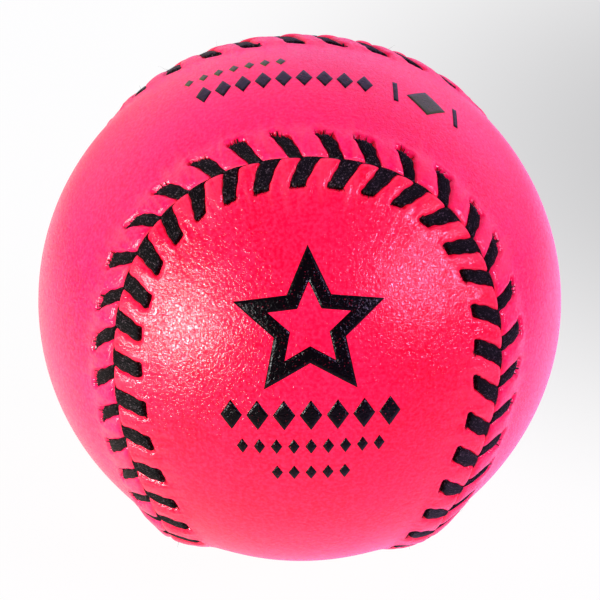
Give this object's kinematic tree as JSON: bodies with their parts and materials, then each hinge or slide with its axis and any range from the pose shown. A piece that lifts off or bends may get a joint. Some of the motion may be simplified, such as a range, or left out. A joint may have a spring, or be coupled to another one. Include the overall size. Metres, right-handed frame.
{
  "type": "stoolball ball",
  "caption": "Hand-stitched leather match ball with a two-panel figure-of-eight cover, herringbone thread seam, yarn windings and a cork and rubber core.",
  "frame": {"origin": "the ball's centre", "axes": "+Z through the middle of the side panel's neck, -Y through the middle of the front panel's front lobe, +X to the right of that lobe"},
  "size_m": [0.062, 0.062, 0.062],
  "materials": {
    "pink_leather": "fluorescent pink grain leather, satin lacquer",
    "black_thread": "flat waxed multi-filament thread",
    "print_ink": "black pad-printed ink that takes the leather's grain",
    "green_ink": "green pad-printed ink",
    "cork": "granulated cork bonded with rubber",
    "core_rubber": "moulded black rubber",
    "grey_wool_yarn": "thick grey wool yarn, wound",
    "cream_wool_yarn": "cream wool yarn, wound",
    "cotton_yarn": "fine white cotton yarn, tightly wound",
    "latex_adhesive": "dried latex adhesive"
  },
  "bodies": {
    "root": {"cork_core": "cork", "core_shell_lower": "core_rubber", "core_shell_upper": "core_rubber", "inner_winding": "grey_wool_yarn", "middle_winding": "cream_wool_yarn", "outer_winding": "cotton_yarn", "adhesive_coat": "latex_adhesive", "front_cover_panel": "pink_leather", "side_cover_panel": "pink_leather", "thread_one": "black_thread", "thread_two": "black_thread"}
  },
  "joints": []
}
